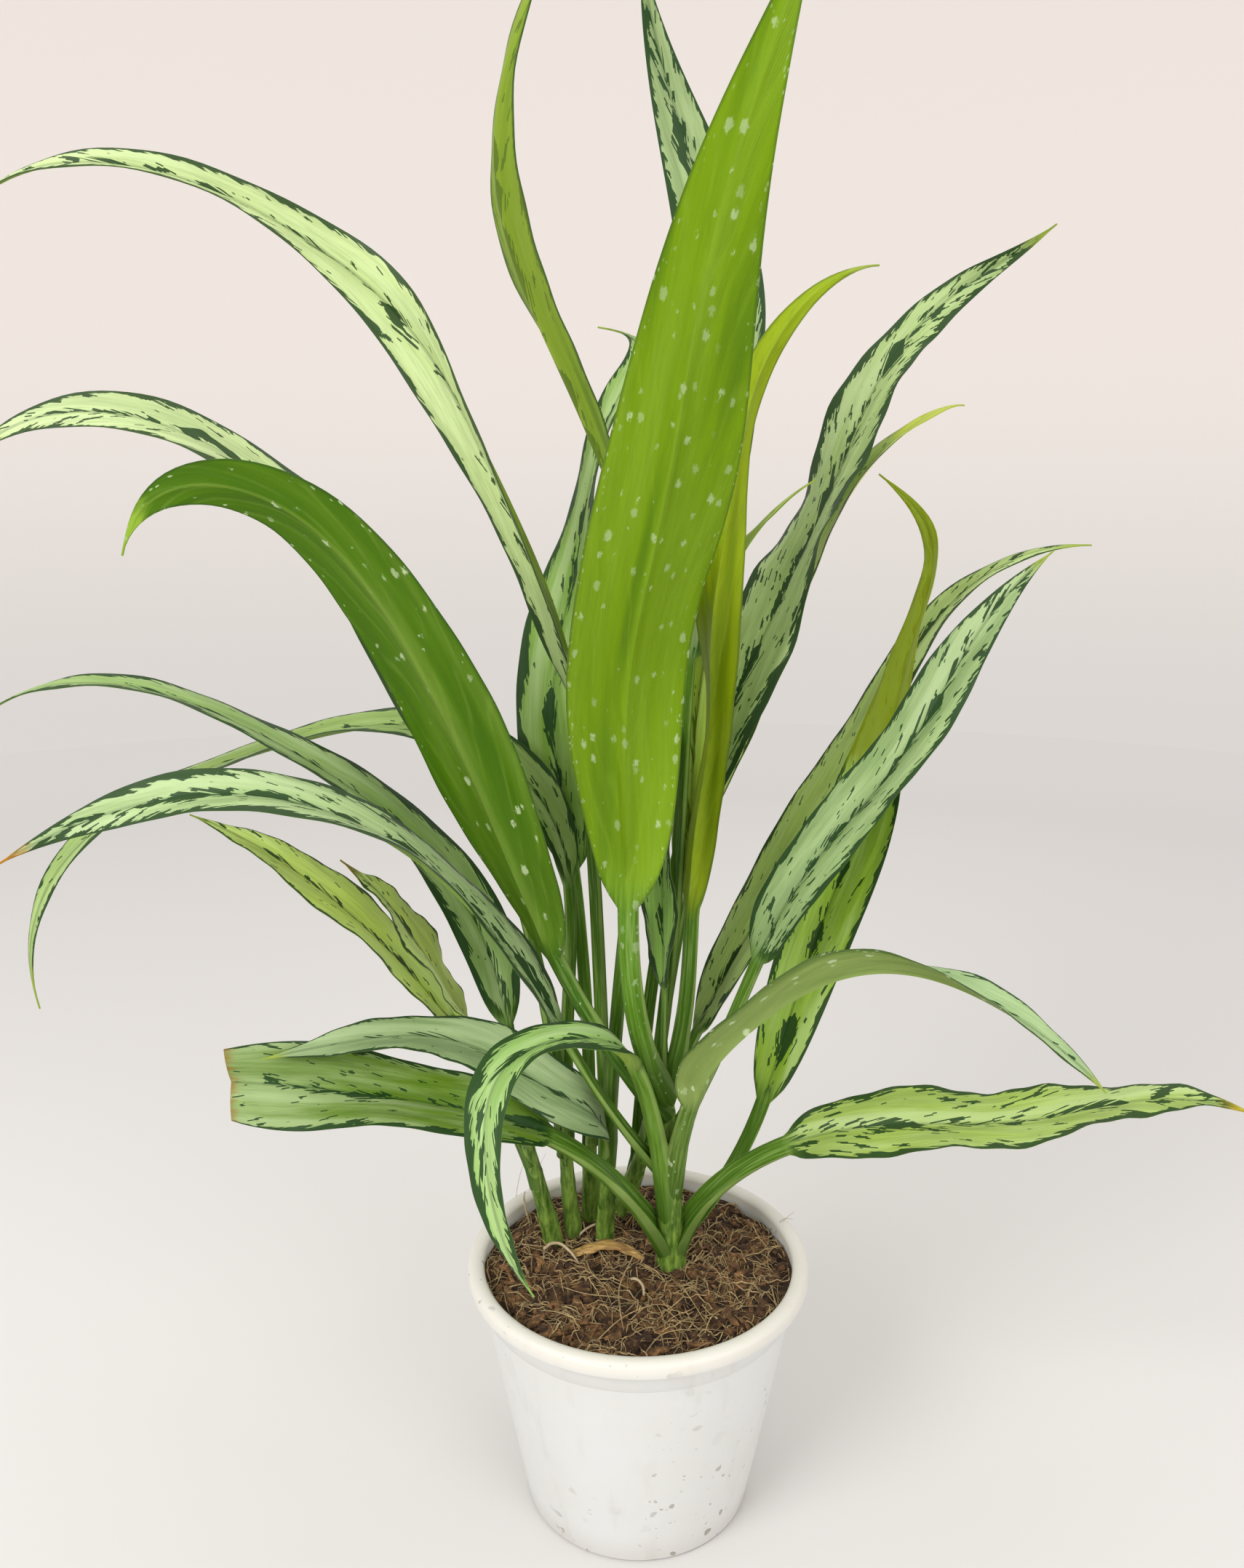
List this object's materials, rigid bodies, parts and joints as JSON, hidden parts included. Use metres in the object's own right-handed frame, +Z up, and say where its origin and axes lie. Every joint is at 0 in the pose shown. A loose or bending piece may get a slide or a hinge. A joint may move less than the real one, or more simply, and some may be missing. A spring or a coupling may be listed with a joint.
{
  "type": "potted aglaonema",
  "caption": "Leafy house plant with long narrow arching leaves on several shoots, growing in coir soil in a round tapered plastic nursery pot.",
  "frame": {"origin": "centre of the pot's foot, on the surface it stands on", "axes": "+Z up along the pot's axis, -Y is the front, +X to the right seen from the front"},
  "size_m": [0.4435, 0.2078, 0.5547],
  "materials": {
    "pot": "smooth white moulded plastic, lightly scuffed",
    "soil": "loose brown coconut coir with fibres and husk chips",
    "shoot": "smooth green sheaths",
    "leaf": "satin green leaf, silver marked on the upper side"
  },
  "bodies": {
    "root": {"pot": "pot", "soil": "soil", "shoot_front": "shoot", "shoot_back": "shoot", "shoot_centre": "shoot", "shoot_back_left": "shoot", "shoot_left_inner": "shoot", "shoot_left_outer": "shoot", "leaf_front_tall": "leaf", "leaf_left_dark": "leaf", "leaf_left_high_arch": "leaf", "leaf_left_tall": "leaf", "leaf_back_tall": "leaf", "leaf_left_arch": "leaf", "leaf_inner_broad": "leaf", "leaf_right_upright": "leaf", "leaf_inner_slim": "leaf", "leaf_right_wavy": "leaf", "leaf_right_behind": "leaf", "leaf_centre_small": "leaf", "leaf_right_silver": "leaf", "leaf_right_back": "leaf", "leaf_right_hooked": "leaf", "leaf_right_arch": "leaf", "leaf_right_low": "leaf", "leaf_front_hanging": "leaf", "leaf_left_cut": "leaf", "leaf_left_twisted": "leaf", "leaf_left_long": "leaf", "leaf_left_slim": "leaf", "leaf_left_drooping": "leaf", "leaf_left_low": "leaf", "leaf_left_small": "leaf", "leaf_new_rolled": "leaf"}
  },
  "joints": []
}
